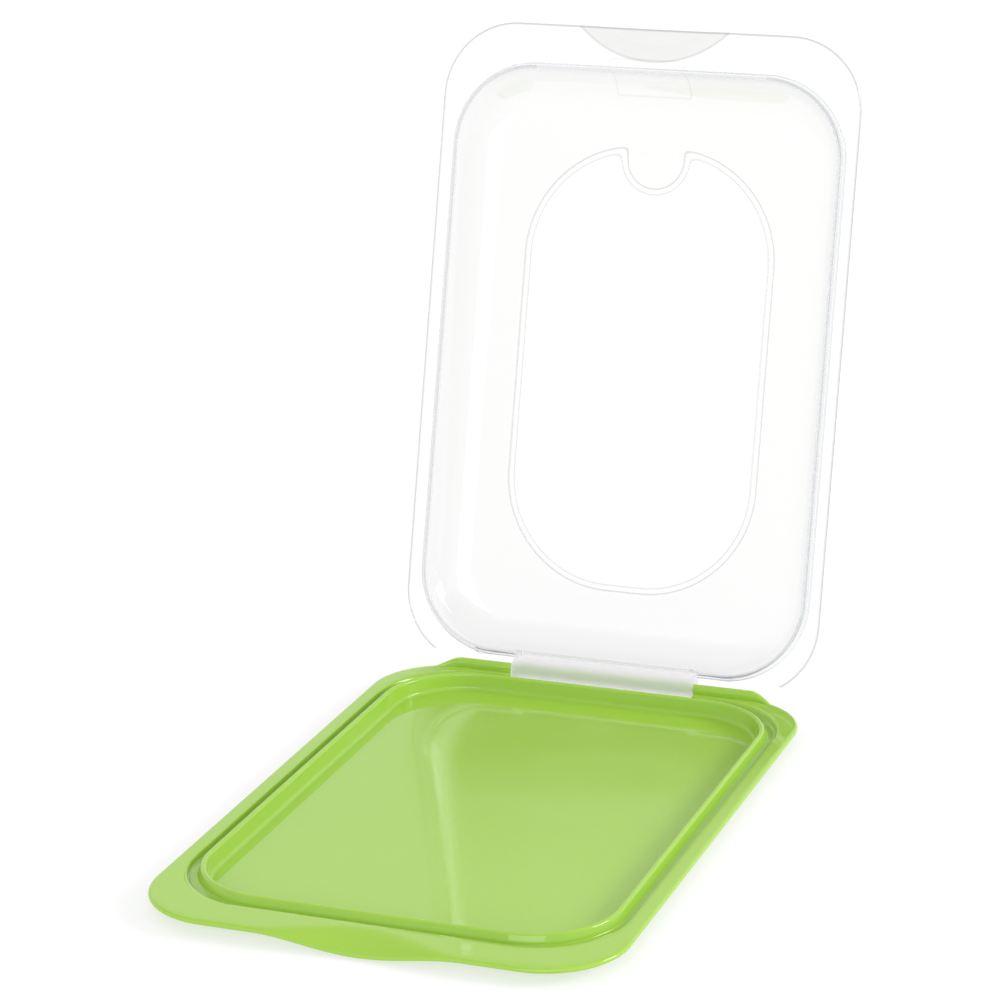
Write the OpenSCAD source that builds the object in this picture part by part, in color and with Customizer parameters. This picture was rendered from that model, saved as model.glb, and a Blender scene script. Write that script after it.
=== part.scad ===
// Flat storage box for the freezer: a shallow green tray and a clear domed lid
// that snaps onto a rod at the tray's rear edge and stands open behind it.
// X is the width, Y runs to the hinge, Z is up. The origin is on the table,
// under the middle of the tray's flange. Sizes are in millimetres.

/* [Outline] */
// Width of the tray and of the lid
box_w = 170; // [141:1:205]
// Length of the tray and of the lid, from front edge to rear edge
box_l = 252; // [210:1:303]
// Corner radius of both outlines
corner_r = 29; // [24:1:32]
// How far the lid is turned open from closed, in degrees
lid_open = 105; // [0:1:105]

/* [Tray] */
// Height of the flange's top face above the table
tub_depth = 6.2; // [5.2:0.1:12]
// Thickness of the flange
flange_t = 2; // [1.6:0.1:2.4]
// Thickness of the floor and of the moat round the rim
wall_t = 1.6; // [1.2:0.1:2]
// Height of the rim's crest above the flange
rim_h = 1.8; // [1.4:0.1:4]
// Thickness of the rim, which ends in a full round
rim_t = 2.2; // [1.8:0.1:2.8]
// Corner radius of the rim along its middle
rim_r = 30; // [24:1:34]
// Distance from the side edge to the middle of the rim
rim_side = 10.6; // [10.3:0.1:14]
// Distance from the front edge to the middle of the rim
rim_front = 20.5; // [19.8:0.1:30]
// Distance from the rear edge to the middle of the rim
rim_rear = 11; // [9.8:0.1:16]
// Lean of the tub's wall from upright, in degrees
draft_a = 8; // [2:1:12]
// Radius between the tub's wall and its floor, inside
fillet_r = 1.5; // [1:0.1:3]
// Depth of the moat below the flange
moat_d = 2; // [1.6:0.1:2.4]

/* [Lid] */
// How far the lid's edge stays inside the tray's, at the sides
lid_side = 0.8; // [0:0.1:1.2]
// Thickness of the lid
lid_t = 1.2; // [1:0.1:1.6]
// Height of the dome's ceiling above the flange, inside
dome_h = 15; // [8:0.5:22]
// Thickness of the sealing rib
rib_t = 1.2; // [0.8:0.1:1.6]
// How far the sealing rib reaches below the flange
rib_h = 1.5; // [0.8:0.1:1.7]
// Distance from the side edge to the middle of the sealing rib
rib_side = 7.4; // [7:0.1:7.8]
// Distance from the front edge to the middle of the sealing rib
rib_front = 16.8; // [16.2:0.1:17.2]
// Distance from the rear edge to the middle of the sealing rib
rib_rear = 6.5; // [6.1:0.1:6.8]
// Corner radius of the sealing rib along its middle
rib_r = 31; // [28:1:34]

/* [Hinge] */
// Diameter of the rod at the tray's rear edge
rod_d = 4; // [3:0.1:5]
// Distance of the rod's axis in front of the rear edge
rod_in = 0.3; // [0:0.1:0.6]
// Height of the rod's axis above the flange
rod_up = 1.2; // [1:0.1:2]
// Free length of the rod between the ears
rod_l = 74.4; // [50:0.2:90]
// Distance from the side edge to the start of an ear's round end
ear_side = 19; // [18:0.2:26]
// Outer diameter of the lid's clip
clip_d = 10.4; // [9:0.1:10.6]
// Width of the clip's mouth, which snaps over the rod
mouth_w = 3.2; // [2.2:0.1:3.6]

/* [Finger tabs] */
// How far the tabs reach back from the front edge
tab_reach = 12.6; // [9:0.1:13.4]
// Radius of the tabs' arc
tab_r = 42; // [34:1:60]
// How far the tray's tab turns down at the front edge
tab_drop = 2; // [0.8:0.1:2.6]
// How far the lid's tab turns up at the front edge
tab_rise = 2.4; // [0.8:0.1:3]

/* [Window] */
// Distance from the side edge to the raised bead on the lid
window_side = 34.2; // [28:0.2:38]
// Distance from the front edge to the bead
window_front = 44.7; // [40:0.1:60]
// Distance from the rear edge to the bead
window_rear = 33.3; // [29:0.1:50]
// Corner radius of the bead, outside
window_r = 44; // [30:1:48]
// Width of the bead
bead_w = 2.2; // [1.6:0.1:3]
// Height of the bead above the lid, and depth of its groove below
bead_h = 0.4; // [0.2:0.1:0.5]
// Radius of the round notch in the bead
notch_r = 11.5; // [8:0.5:14]
// Depth of the notch
notch_d = 16; // [14:0.5:24]
// Radius of the bead's lips beside the notch
lip_r = 4.6; // [3.4:0.1:6]

/* [Fit] */
// Gap between the closed lid and the tray
seat_gap = 0.3; // [0.2:0.05:0.5]
// Radial gap between the rod and the clip's bore
bore_gap = 0.08; // [0.04:0.01:0.1]
// Gap at each end of the clip
end_gap = 0.5; // [0.3:0.1:1]
// Gap between the clip and the edge of the tray's cut-out
clip_gap = 0.5; // [0.3:0.1:0.6]

/* [Hidden] */
$fn = 96;
tray_green = "yellowgreen";
lid_clear = [0.93, 0.94, 0.95, 0.45];

front_y = -box_l / 2;
rear_y = box_l / 2;

// a loop is a rounded rectangle: half width, front, rear and corner radius
function loop(side, front, rear, r) = [box_w / 2 - side, front_y + front, rear_y - rear, r];
function inset(lp, d) = [lp[0] - d, lp[1] + d, lp[2] - d, lp[3] - d];

outline = loop(0, 0, 0, corner_r);
lid_outline = loop(lid_side, 0, 0, corner_r);
rim_loop = loop(rim_side, rim_front, rim_rear, rim_r);
rib_loop = loop(rib_side, rib_front, rib_rear, rib_r);

// tray heights and places
flange_z = tub_depth;
moat_z = flange_z - moat_d;
moat_slope = 1;
moat_loop = inset(rib_loop, -rib_t / 2 - seat_gap - moat_slope);
crest_z = flange_z + rim_h - rim_t / 2;
foot_r = fillet_r + wall_t;
// centre of the inner fillet, which touches the floor and the leaning wall
fillet_z = wall_t + fillet_r;
fillet_x = -rim_t / 2 - (fillet_r + (crest_z - fillet_z) * sin(draft_a)) / cos(draft_a);
// foot of the wall's outer face, which leans as the inner one does
foot_x = rim_t / 2 - (moat_z - wall_t) * tan(draft_a);

// hinge
rod_r = rod_d / 2;
hinge_y = rear_y - rod_in;
hinge_z = flange_z + rod_up;
clip_r = clip_d / 2;
cut_y = hinge_y - clip_r - clip_gap;
ear_end = box_w / 2 - ear_side;

// lid heights and places, with the lid closed
lid_z = flange_z + seat_gap;
cove_r = dome_h + lid_t;
fold_loop = inset(rib_loop, -rib_t / 2 - lid_t / 2);
panel_loop = inset(fold_loop, cove_r);
rib_gap_x = rod_l / 2 - 3.2;
stop_block = 2.6;
rear_trim_y = fold_loop[2] + 0.4;
tab_y = front_y + tab_reach - tab_r;
window_y = front_y + window_front;
window_w = box_w - 2 * window_side;
window_l = box_l - window_front - window_rear;
// the corners stay round where a narrow lid leaves less room
window_round = min(window_r, window_w / 2 - 1);
base_fillet = 1.4;
dot_d = 1.2;
dot_pitch = 5.8;
bite = 0.5;
far = 400;

module outline_2d(lp) {
    r = lp[3];
    for (x = [r - lp[0], lp[0] - r], y = [lp[1] + r, lp[2] - r])
        translate([x, y]) circle(r);
    translate([-lp[0], lp[1] + r]) square([2 * lp[0], lp[2] - lp[1] - 2 * r]);
    translate([r - lp[0], lp[1]]) square([2 * (lp[0] - r), lp[2] - lp[1]]);
}

// a flat plate with the loop's outline, from one height to another
module plate(lp, z0, z1) {
    translate([0, 0, z0]) linear_extrude(z1 - z0) outline_2d(lp);
}

// carries a section round a loop: the section's x points outwards from the
// loop and its y is the height
module around(lp) {
    hw = lp[0];
    r = lp[3];
    side_l = lp[2] - lp[1] - 2 * r;
    end_l = 2 * (hw - r);
    starts = [[hw, lp[2] - r], [r - hw, lp[2]], [-hw, lp[1] + r], [hw - r, lp[1]]];
    centres = [[hw - r, lp[2] - r], [r - hw, lp[2] - r], [r - hw, lp[1] + r], [hw - r, lp[1] + r]];
    for (k = [0:3]) {
        translate(starts[k]) rotate([0, 0, 90 * k]) rotate([90, 0, 0])
            linear_extrude(k % 2 == 0 ? side_l : end_l) children();
        translate(centres[k]) rotate([0, 0, 90 * k])
            rotate_extrude(angle = 90) translate([r, 0]) children();
    }
}

// section of the tub's wall: a round crest, a leaning wall, a fillet onto the
// floor inside and a larger round onto the foot outside
module tub_section() {
    touch = [fillet_x + fillet_r * cos(draft_a), fillet_z - fillet_r * sin(draft_a)];
    difference() {
        union() {
            translate([0, crest_z]) circle(rim_t / 2);
            polygon([[-rim_t / 2, crest_z], touch, [fillet_x, wall_t], [fillet_x, 0],
                     [foot_x, 0], [rim_t / 2, moat_z - wall_t], [rim_t / 2, crest_z]]);
        }
        translate([fillet_x, fillet_z]) circle(fillet_r);
        difference() {
            translate([foot_x - foot_r, -bite]) square([foot_r + bite, foot_r + bite]);
            translate([foot_x - foot_r, foot_r]) circle(foot_r);
        }
    }
}

// section of the moat's outer wall, which rises from the moat to the flange
module moat_section() {
    polygon([[-moat_slope, moat_z], [0, flange_z], [wall_t, flange_z],
             [wall_t, flange_z - flange_t], [wall_t - moat_slope, moat_z - wall_t],
             [-moat_slope - bite, moat_z - wall_t], [-moat_slope - bite, moat_z]]);
}

// surface of a finger tab: two cones about the arc's centre, with a fold
// between them, trimmed to the outline; rise is negative for the tray
module tab(edge, z0, t, rise) {
    fold = tab_reach / 2;
    intersection() {
        translate([0, tab_y, z0]) rotate_extrude()
            polygon([[tab_r + bite, 0], [tab_r, 0], [tab_r - fold, 0.6 * rise],
                     [tab_r - tab_reach - t, rise], [tab_r - tab_reach - t, rise + t],
                     [tab_r - fold, 0.6 * rise + t], [tab_r, t], [tab_r + bite, t]]);
        plate(edge, z0 - far / 2, z0 + far / 2);
    }
}

// everything inside the tabs' arc, to clear the flange there
module tab_clearance(z0, t) {
    translate([0, tab_y, z0 - bite]) cylinder(r = tab_r, h = t + 2 * bite);
}

module ears() {
    for (s = [-1, 1]) mirror([s < 0 ? 1 : 0, 0, 0]) {
        translate([rod_l / 2, 0, 0]) rotate([90, 0, 90]) linear_extrude(ear_end - rod_l / 2) {
            translate([hinge_y, hinge_z]) circle(rod_r);
            translate([hinge_y - rod_r, flange_z - flange_t]) square([rod_d, rod_up + flange_t]);
        }
        translate([ear_end, hinge_y, flange_z - flange_t]) cylinder(r = rod_r, h = rod_up + flange_t);
        translate([ear_end, hinge_y, hinge_z]) sphere(rod_r);
    }
}

module tray() {
    color(tray_green) {
        difference() {
            union() {
                difference() {
                    plate(inset(outline, flange_t / 2), flange_z - flange_t, flange_z);
                    plate(inset(moat_loop, -bite), 0, flange_z + bite);
                }
                around(inset(outline, flange_t / 2))
                    translate([0, flange_z - flange_t / 2]) circle(flange_t / 2);
                around(moat_loop) moat_section();
                difference() {
                    plate(inset(moat_loop, moat_slope), moat_z - wall_t, moat_z);
                    plate(rim_loop, 0, flange_z);
                }
            }
            translate([-rod_l / 2, cut_y, 0]) cube([rod_l, far, far]);
            tab_clearance(flange_z - flange_t, flange_t);
        }
        around(rim_loop) tub_section();
        plate(inset(rim_loop, -fillet_x - bite), 0, wall_t);
        tab(outline, flange_z - flange_t, flange_t, -tab_drop);
        ears();
        translate([-rod_l / 2 - bite, hinge_y, hinge_z]) rotate([0, 90, 0])
            cylinder(r = rod_r, h = rod_l + 2 * bite);
    }
}

// area inside the bead, drawn in by d: a rounded rectangle with a round-ended
// notch, whose lips keep their centre as the outline moves
module window_2d(d) {
    lp = [window_w / 2 - d, window_y + d, window_y + window_l - d, window_round - d];
    r = notch_r + d;
    lip = lip_r - d;
    difference() {
        outline_2d(lp);
        translate([0, window_y + notch_d - notch_r]) circle(r);
        translate([-r, window_y - bite]) square([2 * r, notch_d - notch_r + bite]);
        for (s = [-1, 1]) mirror([s < 0 ? 1 : 0, 0, 0]) difference() {
            translate([r - bite, window_y - bite]) square([lip + bite, lip + bite + d]);
            translate([notch_r + lip_r, window_y + lip_r]) circle(lip);
        }
    }
}

// the bead as a flat band of the given thickness
module bead(z, t) {
    translate([0, 0, z]) linear_extrude(t) difference() {
        window_2d(0);
        window_2d(bead_w);
    }
}

// the clip's section about the hinge axis, with its mouth to the rear, and
// the web that joins it to the dome
module clip_section() {
    difference() {
        union() {
            circle(clip_r);
            translate([fold_loop[2] - hinge_y - lid_t, lid_z - hinge_z])
                square([hinge_y - fold_loop[2] + lid_t, clip_r - 1 - lid_z + hinge_z]);
        }
        circle(rod_r + bore_gap);
        translate([0, -mouth_w / 2]) square([clip_r + bite, mouth_w]);
    }
}

// fillet between the dome's foot and the lid's flange
module base_section() {
    difference() {
        translate([-bite, -bite]) square(base_fillet + bite);
        translate([base_fillet, base_fillet]) circle(base_fillet);
    }
}

module sealing_rib() {
    difference() {
        around(rib_loop) translate([-rib_t / 2, lid_z - rib_h]) square([rib_t, rib_h + lid_t]);
        translate([rib_r - rib_loop[0], front_y, 0])
            cube([2 * (rib_loop[0] - rib_r), rib_front + rib_r / 2, far]);
        translate([-rib_gap_x, rear_y - rib_r, 0]) cube([2 * rib_gap_x, rib_r, far]);
    }
}

module closed_lid() {
    top_z = lid_z + cove_r;
    difference() {
        union() {
            difference() {
                union() {
                    plate(inset(lid_outline, lid_t / 2), lid_z, lid_z + lid_t);
                    around(inset(lid_outline, lid_t / 2))
                        translate([0, lid_z + lid_t / 2]) circle(lid_t / 2);
                    around(fold_loop) translate([0, lid_z + lid_t]) base_section();
                }
                plate(inset(fold_loop, lid_t), 0, far);
                tab_clearance(lid_z, lid_t);
                translate([-box_w, rear_trim_y, 0]) cube([2 * box_w, far, far]);
            }
            around(panel_loop) intersection() {
                difference() {
                    translate([0, lid_z]) circle(cove_r);
                    translate([0, lid_z]) circle(cove_r - lid_t);
                }
                translate([0, lid_z]) square(cove_r + bite);
            }
            plate(panel_loop, top_z - lid_t, top_z);
            bead(top_z - bite, bead_h + bite);
            for (k = [-1:1]) translate([k * dot_pitch, window_y + notch_d - notch_r - 2, top_z - bite])
                cylinder(d = dot_d, h = bead_h + bite, $fn = 24);
            tab(lid_outline, lid_z, lid_t, tab_rise);
            sealing_rib();
            for (s = [-1, 1]) translate([s * (rod_l / 2 - end_gap - stop_block / 2), rib_loop[2], lid_z])
                cube(stop_block, center = true);
            translate([end_gap - rod_l / 2, hinge_y, hinge_z]) rotate([90, 0, 90])
                linear_extrude(rod_l - 2 * end_gap) clip_section();
        }
        bead(top_z - lid_t - bite, bead_h + bite);
    }
}

module lid() {
    color(lid_clear) translate([0, hinge_y, hinge_z]) rotate([-lid_open, 0, 0])
        translate([0, -hinge_y, -hinge_z]) closed_lid();
}

tray();
lid();
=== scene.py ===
"""Flat freezer storage box: a lime green tray with a raised rim, and a clear
domed lid that stands open on its hinge clip.

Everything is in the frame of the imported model: X is the width, Y runs to the
hinge and Z is up, with the origin on the table. Sizes are named in
millimetres, and scenes and shaders take them in metres.
"""
import math

import bmesh
import bpy
import numpy as np
from mathutils import Matrix


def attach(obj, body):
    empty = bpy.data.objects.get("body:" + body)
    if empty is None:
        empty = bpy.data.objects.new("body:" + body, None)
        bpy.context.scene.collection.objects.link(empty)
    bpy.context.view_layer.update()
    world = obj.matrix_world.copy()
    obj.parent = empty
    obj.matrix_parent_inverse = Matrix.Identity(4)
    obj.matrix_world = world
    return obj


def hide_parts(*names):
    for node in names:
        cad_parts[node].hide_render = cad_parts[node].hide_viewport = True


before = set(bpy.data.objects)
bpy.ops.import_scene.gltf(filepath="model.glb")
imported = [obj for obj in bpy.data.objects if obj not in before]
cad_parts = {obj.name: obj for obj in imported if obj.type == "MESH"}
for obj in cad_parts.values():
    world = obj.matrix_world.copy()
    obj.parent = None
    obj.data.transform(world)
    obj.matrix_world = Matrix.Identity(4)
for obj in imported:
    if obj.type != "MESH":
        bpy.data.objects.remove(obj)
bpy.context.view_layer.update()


MM = 0.001

# the photo's camera, found by fitting the flange's and the lid's outlines: place and axes
CAMERA_PLACE = (410.10 * MM, -1072.66 * MM, 486.66 * MM)
CAMERA_RIGHT = (0.93719, 0.34850, -0.01487)
CAMERA_UP = (-0.09308, 0.29095, 0.95220)
CAMERA_BACK = (0.33616, -0.89101, 0.30511)
CAMERA_LENS = 125.117

# the hinge: the rod's place and radius, and the turn from the closed lid to the open one
ROD_Y = 125.7
ROD_Z = 7.4
ROD_R = 2.0
LID_TURN = math.radians(105)

# A rounded rectangle is its half width, front, rear and corner radius.
# The tray's loops: crest of the rim, flange side of the moat, outer edge.
RIM = (74.4, -105.5, 115.0, 30.0)
MOAT = (79.5, -111.1, 121.4, 32.9)
EDGE = (85.0, -126.0, 126.0, 29.0)

# the tray's heights
FLANGE_TOP = 6.2
FLANGE_BASE = 4.2
FLOOR_TOP = 1.6
MOAT_BASE = 2.6

# rounds of the tray's section: centre, out from the rim's loop and up, and radius
FILLET = ((-3.15, FLOOR_TOP + 1.5), 1.5)
CREST = ((0.0, 6.9), 1.1)
COVE = ((2.5, 4.95), 0.75)
FOOT = ((-2.365, 3.1), 3.1)

# the same for the flange's edge, out from its loop
EDGE_ROUND = ((-1.0, FLANGE_TOP - 1.0), 1.0)

# the gap in the rear flange, where the clip sits: half width and front side
GAP_X = 37.2
GAP_Y = 120.0

# the tray's finger tab: half width, reach and drop
TAB_HALF = 44.0
TAB_REACH = 12.2
TAB_DROP = 3.7

# the ears' outer ends: from and to where they slope, how far inside the
# flange's corner they end and how far under its top, how much their base
# rises, and the share of their width that they lose
EAR_SLOPE = (59.0, 71.0)
EAR_INSET = 2.2
EAR_SINK = 0.25
EAR_LIFT = 0.5
EAR_THINNING = 0.45

# the lid, closed: outer edge, bead round the window, bead's notch and finger
# tab as centre and radius, and the bare label with its shift to the left
LID_EDGE = (84.2, -126.0, 126.0, 29.0)
WINDOW = (50.8, -81.3, 92.7, 44.0)
BEAD_WIDTH = 2.2
NOTCH = (-76.8, 11.5)
NOTCH_BLEND = 6.0
LID_TAB = (-155.4, 42.0)
LABEL = (15.0, -114.0, -101.0, 1.0)
LABEL_SHIFT = 2.0

# half widths of the painted shade lines that are drawn on the lid
BEAD_LINE = 0.45
FOLD_LINE = 0.6
LABEL_LINE = 0.4

# spans over which the lid's other painted shades fade, out from the lid's edge, the
# tab's circle and the bead
EDGE_FADE = (-0.9, -0.5)
RIB_FADE = (-6.0, -5.0)
TAB_FADE = (-0.4, 0.2)
PANEL_FADE = (0.0, 1.5)

# the same, up from the table under the closed lid, after the height that the
# rib's painted line stays under
RIB_TOP = 6.45
COVE_START = (7.0, 12.0)
COVE_END = (17.0, 22.5)
PANEL_START = (15.0, 21.0)

# share of the light that each painted shade of the lid takes away at one surface: the clear
# colour is darkened there to draw the grey lines and soft shading of the lid's refraction and curves
LID_PAINTED_SHADES = {"edge": 0.32, "rib": 0.28, "bead outside": 0.24, "bead inside": 0.17, "tab": 0.10,
              "tab fold": 0.18, "label": 0.09, "cove": 0.07, "panel": 0.035, "slant": 0.25}

# the clip's milky part: span in which it fades round the hinge's axis, half
# width, roughness and painted glow, a faint light of its own for what its milky plastic scatters
CLIP_FADE = (5.6, 7.4)
CLIP_HALF = 37.4
CLIP_ROUGHNESS = 0.85
PAINTED_CLIP_GLOW = 0.10

# a ray that has taken more steps than this passes straight through the lid's surface
GUIDED_STEPS = 2.5

# colours and optics
BLACK = (0.0, 0.0, 0.0, 1)
WHITE = (1.0, 1.0, 1.0, 1)
LIME = (0.310, 0.530, 0.055, 1)
PALE_LIME = (0.330, 0.550, 0.065, 1)
CLEAR = (0.997, 0.995, 0.989, 1)
FROSTED = (0.74, 0.72, 0.75, 1)
# colour of the clip's painted glow
PAINTED_CLIP_GLOW_COLOUR = (1.0, 0.99, 0.97, 1)
PASSING_TINT = (0.93, 0.94, 0.95, 1)
WALL_TINT = (0.66, 0.68, 0.70, 1)
WALL_DENSITY = 12.0
FLOOR_GREY = (0.34, 0.34, 0.34, 1)
PLASTIC_IOR = 1.49

# the room's light: how bright it is as a mirror image, in its dark gap and on
# dull surfaces, and overhead as a share, with the heights z where that starts and ends
ROOM_LEVEL = 1.1
DARK_LEVEL = 0.15
DULL_LEVEL = 0.87
OVERHEAD_SHARE = 0.5
OVERHEAD = (0.45, 0.75)

# the soft sides of the room's dark gap, in z and x of the direction
DARK_BASE = (0.27, 0.30)
DARK_TOP = (0.379, 0.386)
DARK_LEFT = (-0.352, -0.346)
DARK_RIGHT = (-0.19, -0.15)

# heights z between which the room goes from white to what it is, seen through the lid
SEEN_THROUGH = (0.05, 0.3)

# the floor's glow in front and at the back, and the y in metres where it changes
FLOOR_GLOW = (0.62, 0.69)
FLOOR_CHANGE = (0.2, 1.4)


# shader building blocks

def new_material(name):
    """A material with an empty node tree and its output node."""
    material = bpy.data.materials.new(name)
    material.use_nodes = True
    tree = material.node_tree
    tree.nodes.clear()
    return material, tree, tree.nodes.new("ShaderNodeOutputMaterial")


def add(tree, kind, inputs=None, **settings):
    """A node of the given kind, with its settings and its sockets' values or links."""
    node = tree.nodes.new(kind)
    for key, value in settings.items():
        setattr(node, key, value)
    for key, value in (inputs or {}).items():
        if isinstance(value, bpy.types.NodeSocket):
            tree.links.new(value, node.inputs[key])
        else:
            node.inputs[key].default_value = value
    return node


def math_node(tree, operation, first, second=0.5, third=0.5):
    """The output of one Math node."""
    return add(tree, "ShaderNodeMath", {0: first, 1: second, 2: third}, operation=operation).outputs[0]


def product(tree, first, *others):
    """All the given values multiplied."""
    for other in others:
        first = math_node(tree, "MULTIPLY", first, other)
    return first


def ramp(tree, value, low, high, start=0.0, end=1.0):
    """A value that goes from start to end, clamped, as the input goes from low to high."""
    limits = {"Value": value, "From Min": low, "From Max": high, "To Min": start, "To Max": end}
    return add(tree, "ShaderNodeMapRange", limits).outputs[0]


def fade_in(tree, value, span):
    """From zero to one over a span in millimetres."""
    return ramp(tree, value, span[0] * MM, span[1] * MM)


def fade_out(tree, value, span):
    """From one to zero over a span in millimetres."""
    return ramp(tree, value, span[0] * MM, span[1] * MM, 1.0, 0.0)


def mix_value(tree, share, off, on):
    """A number that goes from off to on with the share."""
    return add(tree, "ShaderNodeMix", {0: share, 2: off, 3: on}, data_type="FLOAT").outputs[0]


def mix_colour(tree, share, off, on):
    """A colour that goes from off to on with the share."""
    return add(tree, "ShaderNodeMix", {0: share, 6: off, 7: on}, data_type="RGBA").outputs[2]


def length(tree, x=0.0, y=0.0, z=0.0):
    """Length of the arm with the given parts."""
    arm = add(tree, "ShaderNodeCombineXYZ", {0: x, 1: y, 2: z}).outputs[0]
    return add(tree, "ShaderNodeVectorMath", {0: arm}, operation="LENGTH").outputs["Value"]


def noise(tree, place, scale, detail):
    """The value of a noise over the object."""
    values = {"Vector": place, "Scale": scale, "Detail": detail}
    return add(tree, "ShaderNodeTexNoise", values).outputs["Fac"]


def group(name, inputs, outputs):
    """An empty node group with named float, colour or vector sockets."""
    tree = bpy.data.node_groups.new(name, "ShaderNodeTree")
    for label, kind in inputs:
        tree.interface.new_socket(label, in_out="INPUT", socket_type=kind)
    for label, kind in outputs:
        tree.interface.new_socket(label, in_out="OUTPUT", socket_type=kind)
    return tree, tree.nodes.new("NodeGroupInput"), tree.nodes.new("NodeGroupOutput")


def moulded_skin_group():
    """Skin of an injection moulding: a slow waviness from shrinkage, a fine
    grain from the mould's polish, and a roughness that drifts between two
    values. Waves and grain are in metres of height."""
    tree, given, out = group(
        "moulded skin",
        [("Smooth", "NodeSocketFloat"), ("Dull", "NodeSocketFloat"),
         ("Waves", "NodeSocketFloat"), ("Grain", "NodeSocketFloat")],
        [("Roughness", "NodeSocketFloat"), ("Normal", "NodeSocketVector"),
         ("Patch", "NodeSocketFloat")])
    place = add(tree, "ShaderNodeTexCoord").outputs["Object"]
    patch = noise(tree, place, 16.0, 3.0)
    wave = noise(tree, place, 22.0, 1.0)
    grain = noise(tree, place, 2600.0, 2.0)
    rough = ramp(tree, patch, 0.35, 0.65, given.outputs["Smooth"], given.outputs["Dull"])
    height = math_node(tree, "ADD", product(tree, wave, given.outputs["Waves"]),
                       product(tree, grain, given.outputs["Grain"]))
    bump = add(tree, "ShaderNodeBump", {"Height": height, "Strength": 1.0, "Distance": 1.0})
    tree.links.new(rough, out.inputs["Roughness"])
    tree.links.new(bump.outputs[0], out.inputs["Normal"])
    tree.links.new(patch, out.inputs["Patch"])
    return tree


MOULDED_SKIN = moulded_skin_group()


def moulded_skin(tree, smooth, dull, waves, grain):
    """The moulded skin with one material's own values."""
    values = {"Smooth": smooth, "Dull": dull, "Waves": waves, "Grain": grain}
    return add(tree, "ShaderNodeGroup", values, node_tree=MOULDED_SKIN).outputs


def green_tray_material():
    """Glossy opaque lime polypropylene, a little paler where it drifts."""
    material, tree, out = new_material("lime polypropylene")
    skin = moulded_skin(tree, smooth=0.06, dull=0.11, waves=0.00004, grain=0.0000003)
    shader = add(tree, "ShaderNodeBsdfPrincipled",
                 {"Base Color": mix_colour(tree, skin["Patch"], LIME, PALE_LIME),
                  "Roughness": skin["Roughness"], "Normal": skin["Normal"], "IOR": PLASTIC_IOR,
                  "Subsurface Weight": 0.15, "Subsurface Radius": (0.8, 1.0, 0.3),
                  "Subsurface Scale": 2 * MM})
    tree.links.new(shader.outputs[0], out.inputs["Surface"])
    return material


def lid_place(tree):
    """Where a point of the lid lies when the lid is closed: its x, y and z,
    found by turning the open lid back about the hinge's axis. The arm from
    the hinge to the point comes last."""
    place = add(tree, "ShaderNodeTexCoord").outputs["Object"]
    hinge = (0.0, ROD_Y * MM, ROD_Z * MM)
    arm = add(tree, "ShaderNodeVectorMath", {0: place, 1: hinge}, operation="SUBTRACT").outputs[0]
    turned = add(tree, "ShaderNodeVectorRotate", {"Vector": arm, "Angle": LID_TURN}, rotation_type="X_AXIS")
    shut = add(tree, "ShaderNodeVectorMath", {0: turned.outputs[0], 1: hinge}, operation="ADD").outputs[0]
    return *add(tree, "ShaderNodeSeparateXYZ", {0: shut}).outputs, arm


def rounded_gap(tree, x, y, loop):
    """Distance outwards from a rounded rectangle's edge: the length of what
    passes the corner circles' centres, less the radius. Inside it is
    negative."""
    half, front, rear, radius = (size * MM for size in loop)
    across = math_node(tree, "SUBTRACT", math_node(tree, "ABSOLUTE", x), half - radius)
    along = math_node(tree, "ABSOLUTE", math_node(tree, "SUBTRACT", y, (front + rear) / 2))
    along = math_node(tree, "SUBTRACT", along, (rear - front) / 2 - radius)
    past = length(tree, math_node(tree, "MAXIMUM", across, 0.0), math_node(tree, "MAXIMUM", along, 0.0))
    inner = math_node(tree, "MINIMUM", math_node(tree, "MAXIMUM", across, along), 0.0)
    return math_node(tree, "SUBTRACT", math_node(tree, "ADD", past, inner), radius)


def circle_gap(tree, x, y, circle):
    """Distance outwards from a circle round a point of the middle line."""
    centre_y, radius = circle
    arm = length(tree, x, math_node(tree, "SUBTRACT", y, centre_y * MM))
    return math_node(tree, "SUBTRACT", arm, radius * MM)


def line_mask(tree, gap, at, half_width):
    """One on the line where the gap has the given value in millimetres,
    fading out over half_width on both sides."""
    off = math_node(tree, "ABSOLUTE", math_node(tree, "SUBTRACT", gap, at * MM))
    return fade_out(tree, off, (0.4 * half_width, half_width))


def clip_mask(tree, x, arm):
    """One inside the hinge clip and zero outside: by the distance from the
    hinge's axis, and along the axis."""
    parts = add(tree, "ShaderNodeSeparateXYZ", {0: arm}).outputs
    near = fade_out(tree, length(tree, y=parts[1], z=parts[2]), CLIP_FADE)
    within = math_node(tree, "LESS_THAN", math_node(tree, "ABSOLUTE", x), CLIP_HALF * MM)
    return product(tree, near, within)


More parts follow.
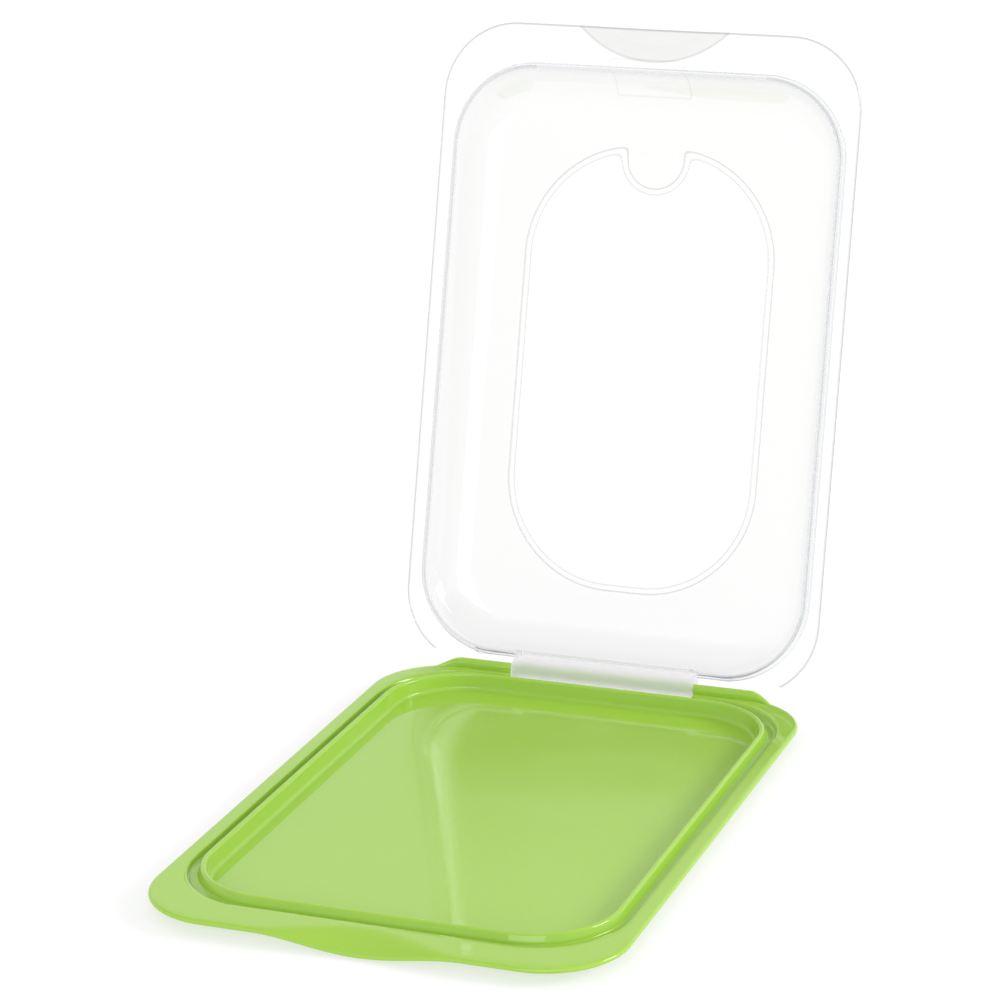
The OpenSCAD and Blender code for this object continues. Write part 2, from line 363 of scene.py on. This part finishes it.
def lid_painted_shade_masks(tree, x, y, z):
    """Where each painted shade of the lid shows, from zero to one: painted grey
    lines at its round edge, the rib under the flange, both sides of the bead,
    the tab's fold and the bare label's outline, painted soft shade over the
    tab, the cove and the panel round the window, and painted shade on
    whatever slants away from the viewer."""
    edge = rounded_gap(tree, x, y, LID_EDGE)
    notch = math_node(tree, "MULTIPLY", circle_gap(tree, x, y, NOTCH), -1.0)
    window = math_node(tree, "SMOOTH_MAX", rounded_gap(tree, x, y, WINDOW), notch, NOTCH_BLEND * MM)
    tab = circle_gap(tree, x, y, LID_TAB)
    label = rounded_gap(tree, math_node(tree, "ADD", x, LABEL_SHIFT * MM), y, LABEL)
    under = math_node(tree, "LESS_THAN", z, RIB_TOP * MM)
    slant = add(tree, "ShaderNodeLayerWeight", {"Blend": 0.5}).outputs["Facing"]
    return {
        "edge": fade_in(tree, edge, EDGE_FADE),
        "rib": product(tree, under, fade_out(tree, edge, RIB_FADE)),
        "bead outside": line_mask(tree, window, 0.0, BEAD_LINE),
        "bead inside": line_mask(tree, window, -BEAD_WIDTH, BEAD_LINE),
        "tab": fade_out(tree, tab, TAB_FADE),
        "tab fold": line_mask(tree, tab, 0.0, FOLD_LINE),
        "label": line_mask(tree, label, 0.0, LABEL_LINE),
        "cove": product(tree, fade_in(tree, z, COVE_START), fade_out(tree, z, COVE_END)),
        "panel": product(tree, fade_in(tree, window, PANEL_FADE), fade_in(tree, z, PANEL_START)),
        "slant": ramp(tree, slant, 0.35, 1.0),
    }


def clear_lid_material():
    """Clear polypropylene, frosted at the thick clip. Painted shade darkens its
    clear colour at its edge, rib, bead, tab, label, cove, panel and slanting
    parts, so these show as grey lines and soft shading. Lamps shine through
    it, and so does light that has been guided a long way inside its walls, as
    slightly hazy plastic lets it out. The clip has a painted glow, a faint
    light of its own that stands in for what its milky plastic scatters."""
    material, tree, out = new_material("clear polypropylene")
    skin = moulded_skin(tree, smooth=0.01, dull=0.03, waves=0.00001, grain=0.0)
    x, y, z, arm = lid_place(tree)
    frosted = clip_mask(tree, x, arm)
    # painted shade: each mask below darkens the clear colour, drawing grey lines and soft shading
    light = 1.0
    for mark, mask in lid_painted_shade_masks(tree, x, y, z).items():
        left = math_node(tree, "MULTIPLY_ADD", mask, -LID_PAINTED_SHADES[mark], 1.0)
        light = math_node(tree, "MULTIPLY", light, left)
    colour = mix_colour(tree, frosted, mix_colour(tree, light, BLACK, CLEAR), FROSTED)
    # painted glow: the clip gives off a faint light of its own in place of what its milky plastic scatters
    shader = add(tree, "ShaderNodeBsdfPrincipled",
                 {"Base Color": colour, "Normal": skin["Normal"], "IOR": PLASTIC_IOR,
                  "Roughness": ramp(tree, frosted, 0.0, 1.0, skin["Roughness"], CLIP_ROUGHNESS),
                  "Transmission Weight": 1.0,
                  "Emission Color": mix_colour(tree, frosted, BLACK, PAINTED_CLIP_GLOW_COLOUR),
                  "Emission Strength": PAINTED_CLIP_GLOW})
    through = add(tree, "ShaderNodeBsdfTransparent", {"Color": PASSING_TINT})
    path = add(tree, "ShaderNodeLightPath").outputs
    guided = math_node(tree, "GREATER_THAN", path["Ray Depth"], GUIDED_STEPS)
    passing = math_node(tree, "MAXIMUM", path["Is Shadow Ray"], guided)
    mix = add(tree, "ShaderNodeMixShader", {0: passing, 1: shader.outputs[0], 2: through.outputs[0]})
    inside = add(tree, "ShaderNodeVolumeAbsorption", {"Color": WALL_TINT, "Density": WALL_DENSITY})
    tree.links.new(mix.outputs[0], out.inputs["Surface"])
    tree.links.new(inside.outputs[0], out.inputs["Volume"])
    return material


# the tray's shown shape

def inset(loop, gap):
    """A rounded rectangle drawn in by a gap on every side."""
    half, front, rear, radius = loop
    return half - gap, front + gap, rear - gap, max(radius - gap, 1.0)


def blend(one, other, share):
    """A rounded rectangle part of the way from one to the other."""
    return tuple((1 - share) * a + share * b for a, b in zip(one, other))


def loop_points(loop, corner_steps=28, side_steps=40, front_steps=132, rear_steps=12, gap_steps=40):
    """Points round a rounded rectangle, anticlockwise from the right side's
    front end: a corner is its centre plus the radius times (cos a, sin a).
    The rear side has two points at each end of the clip's gap. Returns x, y
    and True for the points inside that gap."""
    half, front, rear, radius = loop
    flat, low, high = half - radius, front + radius, rear - radius
    turn = np.linspace(0, np.pi / 2, corner_steps, endpoint=False)
    cos, sin = radius * np.cos(turn), radius * np.sin(turn)
    gap_x = min(GAP_X, 0.85 * flat)
    rear_x = np.concatenate((np.linspace(flat, gap_x, rear_steps), np.linspace(gap_x, -gap_x, gap_steps),
                             np.linspace(-gap_x, -flat, rear_steps)[:-1]))
    front_x = np.linspace(-flat, flat, front_steps, endpoint=False)
    right_y = np.linspace(low, high, side_steps, endpoint=False)
    left_y = right_y[::-1] + (right_y[1] - right_y[0])
    x = np.concatenate((np.full(side_steps, half), flat + cos, rear_x, -flat - sin,
                        np.full(side_steps, -half), -flat - cos, front_x, flat + sin))
    y = np.concatenate((right_y, high + sin, np.full(rear_x.size, rear), high + cos,
                        left_y, low - sin, np.full(front_steps, front), low - cos))
    inside = np.zeros(x.size, bool)
    start = side_steps + corner_steps + rear_steps
    inside[start:start + gap_steps] = True
    return x, y, inside


def arc_steps(round_off, first, last, count):
    """Section points on a round: its centre plus its radius times (cos a,
    sin a), with a in degrees."""
    (out, height), radius = round_off
    angle = np.radians(np.linspace(first, last, count))
    return list(zip(out + radius * np.cos(angle), height + radius * np.sin(angle)))


def tray_rings():
    """The tray's section as rings from the middle of the floor outwards over
    the rim and the flange, and back underneath. Each ring is a rounded
    rectangle, its height, and True where the clip's gap cuts it."""
    floor = [(inset(RIM, gap), FLOOR_TOP, False) for gap in (66, 52, 40, 30, 21, 13, 7.5, 4.2)]
    wall = arc_steps(FILLET, -90, -8, 8) + arc_steps(CREST, 176, 20, 17)
    wall += [(1.3, 6.3), (1.62, 5.6)] + arc_steps(COVE, 190, 270, 6)
    moat = ((0.55, 4.2), (0.68, 4.22), (0.76, 4.4), (0.82, 4.9), (0.88, 5.5), (0.94, 5.95), (1.0, 6.14))
    moat_foot = ((1.5, 4.1), (0.7, MOAT_BASE + 0.1), (0.5, MOAT_BASE))
    foot = [(1.2, MOAT_BASE), (1.0, MOAT_BASE - 0.15)] + arc_steps(FOOT, -18, -90, 10)
    moat_start = inset(RIM, -COVE[0][0])
    flange_end = inset(EDGE, EDGE_ROUND[1])

    rings = floor + [(inset(RIM, -out), height, False) for out, height in wall]
    rings += [(blend(moat_start, MOAT, share), height, True) for share, height in moat]
    rings += [(blend(MOAT, flange_end, share), FLANGE_TOP, True) for share in (0.08, 0.22, 0.4, 0.6, 0.8)]
    rings += [(inset(EDGE, -out), height, True) for out, height in arc_steps(EDGE_ROUND, 90, -90, 13)]
    rings += [(blend(inset(MOAT, -1.6), flange_end, share), FLANGE_BASE, True) for share in (0.8, 0.5, 0.25)]
    rings += [(inset(MOAT, -out), height, True) for out, height in moat_foot]
    rings += [(inset(RIM, -out), height, False) for out, height in foot]
    return rings + [(inset(RIM, gap), 0.0, False) for gap in (4.2, 13, 30, 52, 66)]


def tab_fall(x, y, ease=0.2):
    """How far the finger tab has turned down at a point, in millimetres. It
    starts on a bell-shaped line, the reach times cos squared of x over the
    tab's width, and goes by sqrt(s squared + ease squared) - ease, a rounded
    start and then a straight slope, where s is the share of the reach behind
    the line."""
    turn = np.clip(np.abs(x) / TAB_HALF, 0, 1) * np.pi / 2
    line = EDGE[1] + TAB_REACH * np.cos(turn) ** 2
    share = np.clip((line - y) / TAB_REACH, 0, 1)
    return TAB_DROP * (np.hypot(share, ease) - ease) / (math.hypot(1, ease) - ease)


def tray_shell_grid():
    """The moulded shell as a grid: one row of points to a ring. Points in the
    clip's gap stay in front of it and below the flange, and the front tab
    turns the flange down."""
    rows = []
    for loop, height, cut in tray_rings():
        x, y, inside = loop_points(loop)
        z = np.full(x.size, height)
        if cut:
            z = z - tab_fall(x, y)
            y = np.where(inside, np.minimum(y, GAP_Y), y)
            z = np.where(inside, np.minimum(z, FLANGE_BASE), z)
        rows.append(np.stack((x, y, z), axis=1))
    return np.stack(rows)


def ear_grid(sign, straight_steps=6, slope_steps=19, round_steps=17):
    """An ear as a grid over the distance from the middle and the angle round
    its section, a half round on straight sides. Past the slope's start it
    gets lower and narrower and follows the flange's corner by the smooth step
    3 s squared - 2 s cubed, until it has sunk into the flange."""
    start, end = EAR_SLOPE
    x = np.concatenate((np.linspace(GAP_X, start - 1, straight_steps), np.linspace(start, end, slope_steps)))
    x = x[:, None]
    share = np.clip((x - start) / (end - start), 0, 1)
    fall = share ** 2 * (3 - 2 * share)
    half, _, rear, radius = EDGE
    corner = rear - radius + np.sqrt(radius ** 2 - np.maximum(x - half + radius, 0) ** 2)
    middle = ROD_Y + (corner - EAR_INSET - ROD_Y) * fall
    wide = ROD_R * (1 - EAR_THINNING * fall)
    base = FLANGE_BASE + EAR_LIFT * fall
    top = ROD_Z + ROD_R + (FLANGE_TOP - EAR_SINK - ROD_Z - ROD_R) * fall
    angle = np.linspace(0, np.pi, round_steps)[None, :]
    rise = (ROD_Z - FLANGE_BASE + ROD_R * np.sin(angle)) / (ROD_Z + ROD_R - FLANGE_BASE)
    y = np.concatenate((middle + wide * np.cos(angle), middle - wide, middle, middle + wide), axis=1)
    z = np.concatenate((base + (top - base) * rise, base, base, base), axis=1)
    return np.stack((np.broadcast_to(sign * x, y.shape), y, z), axis=-1)


def rod_grid(stations=9, sides=40, overlap=0.5):
    """The hinge rod as a grid over its length and the angle round it: its
    axis plus the radius times (cos a, sin a), running into both ears."""
    x = np.linspace(-GAP_X - overlap, GAP_X + overlap, stations)[:, None]
    angle = np.linspace(0, 2 * np.pi, sides, endpoint=False)[None, :]
    y = ROD_Y + ROD_R * np.cos(angle)
    z = ROD_Z + ROD_R * np.sin(angle)
    return np.stack(np.broadcast_arrays(x, y, z), axis=-1)


def tube_faces(rows, columns, start):
    """Quads between neighbouring rows of a grid whose columns close on
    themselves, and one face over each end."""
    row = start + np.arange(rows - 1)[:, None] * columns
    here = np.arange(columns)[None, :]
    after = (here + 1) % columns
    quads = np.stack((row + here, row + after, row + columns + after, row + columns + here), axis=-1)
    end = start + np.arange(columns)
    return quads.reshape(-1, 4).tolist() + [end.tolist(), (end + (rows - 1) * columns).tolist()]


def moulded_piece(name, grids, material, body, sharp=math.radians(40)):
    """A piece of a moulding from closed tubes, each a grid of points in
    millimetres. Its faces point outwards, and edges past the sharp angle stay
    sharp."""
    faces = []
    start = 0
    for grid in grids:
        rows, columns, _ = grid.shape
        faces += tube_faces(rows, columns, start)
        start += rows * columns
    points = np.concatenate([grid.reshape(-1, 3) for grid in grids]) * MM
    mesh = bpy.data.meshes.new(name)
    mesh.from_pydata(points.tolist(), [], faces)
    work = bmesh.new()
    work.from_mesh(mesh)
    bmesh.ops.remove_doubles(work, verts=work.verts, dist=1e-7)
    bmesh.ops.recalc_face_normals(work, faces=work.faces)
    work.to_mesh(mesh)
    work.free()
    mesh.shade_smooth()
    mesh.set_sharp_from_angle(angle=sharp)
    mesh.materials.append(material)
    piece = bpy.data.objects.new(name, mesh)
    bpy.context.scene.collection.objects.link(piece)
    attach(piece, body)
    return piece


def dress(node, material):
    """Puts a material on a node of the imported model."""
    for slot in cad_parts[node].material_slots:
        slot.material = material


# the studio

def make_camera():
    """The photo's camera, from its three axes and its place."""
    data = bpy.data.cameras.new("camera")
    data.lens = CAMERA_LENS
    data.sensor_width = 36
    data.clip_start = 0.05
    data.clip_end = 50
    camera = bpy.data.objects.new("camera", data)
    bpy.context.scene.collection.objects.link(camera)
    axes = Matrix((CAMERA_RIGHT, CAMERA_UP, CAMERA_BACK)).transposed()
    camera.matrix_world = Matrix.Translation(CAMERA_PLACE) @ axes.to_4x4()
    bpy.context.scene.camera = camera


def studio_world():
    """White for the camera. For the rest it is a room that is bright at the
    height of the horizon and darker overhead, which draws the lid's edges. A
    dark gap behind the hinge is the one between the backdrop and its panel,
    and shows in the tray's glossy floor."""
    world = bpy.data.worlds.new("studio")
    bpy.context.scene.world = world
    world.use_nodes = True
    tree = world.node_tree
    tree.nodes.clear()
    path = add(tree, "ShaderNodeLightPath").outputs
    place = add(tree, "ShaderNodeTexCoord").outputs["Generated"]
    x, y, z = add(tree, "ShaderNodeSeparateXYZ", {0: place}).outputs
    dark = product(tree, ramp(tree, z, *DARK_BASE), ramp(tree, z, *DARK_TOP, 1.0, 0.0),
                   ramp(tree, x, *DARK_LEFT), ramp(tree, x, *DARK_RIGHT, 1.0, 0.0),
                   math_node(tree, "GREATER_THAN", y, 0.0))
    overhead = ramp(tree, z, *OVERHEAD, 1.0, OVERHEAD_SHARE)
    mirrored = product(tree, ramp(tree, dark, 0.0, 1.0, ROOM_LEVEL, DARK_LEVEL), overhead)
    seen_through = mix_value(tree, ramp(tree, z, *SEEN_THROUGH), 1.0, mirrored)
    level = mix_value(tree, path["Is Diffuse Ray"], mirrored, DULL_LEVEL)
    level = mix_value(tree, path["Is Transmission Ray"], level, seen_through)
    level = mix_value(tree, path["Is Camera Ray"], level, 1.0)
    shine = add(tree, "ShaderNodeBackground", {"Color": WHITE, "Strength": level})
    out = add(tree, "ShaderNodeOutputWorld")
    tree.links.new(shine.outputs[0], out.inputs["Surface"])


def floor_material():
    """Pale floor that keeps the object's shadow. It has a little light of its
    own, more towards the back, so that it is white where nothing shades it."""
    material, tree, out = new_material("pale floor")
    place = add(tree, "ShaderNodeTexCoord").outputs["Object"]
    y = add(tree, "ShaderNodeSeparateXYZ", {0: place}).outputs[1]
    shader = add(tree, "ShaderNodeBsdfPrincipled",
                 {"Base Color": FLOOR_GREY, "Roughness": 0.9, "Emission Color": WHITE,
                  "Emission Strength": ramp(tree, y, *FLOOR_CHANGE, *FLOOR_GLOW)})
    tree.links.new(shader.outputs[0], out.inputs["Surface"])
    return material


def make_floor(half=4.0, rear=3.2):
    """A pale table top that reaches past the view."""
    mesh = bpy.data.meshes.new("floor")
    points = [(-half, -half, 0), (half, -half, 0), (half, rear, 0), (-half, rear, 0)]
    mesh.from_pydata(points, [], [(0, 1, 2, 3)])
    floor = bpy.data.objects.new("floor", mesh)
    bpy.context.scene.collection.objects.link(floor)
    mesh.materials.append(floor_material())


def soft_lamp(name, place, size, watts):
    """A soft lamp at a place, facing the origin. It isn't seen directly."""
    data = bpy.data.lights.new(name, "AREA")
    data.shape = "RECTANGLE"
    data.size, data.size_y = size
    data.energy = watts
    lamp = bpy.data.objects.new(name, data)
    lamp.visible_camera = False
    bpy.context.scene.collection.objects.link(lamp)
    back = np.array(place) / np.linalg.norm(place)
    right = np.cross((0, 0, 1), back)
    right = right / np.linalg.norm(right)
    up = np.cross(back, right)
    lamp.matrix_world = Matrix.Translation(place) @ Matrix((right, up, back)).transposed().to_4x4()


make_camera()
studio_world()
make_floor()
lime = green_tray_material()
dress("tray", lime)
tray_shell = moulded_piece("tray_shell", [tray_shell_grid()], lime, "base")
moulded_piece("ears_and_rod", [ear_grid(1), ear_grid(-1), rod_grid()], lime, "base")
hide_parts("tray")
dress("lid", clear_lid_material())
soft_lamp("key", (1.5, 0.4, 0.75), (0.7, 0.5), 14)
soft_lamp("fill", (0.3, -1.7, 0.75), (1.4, 0.9), 10)

bpy.context.scene.view_settings.view_transform = "Standard"
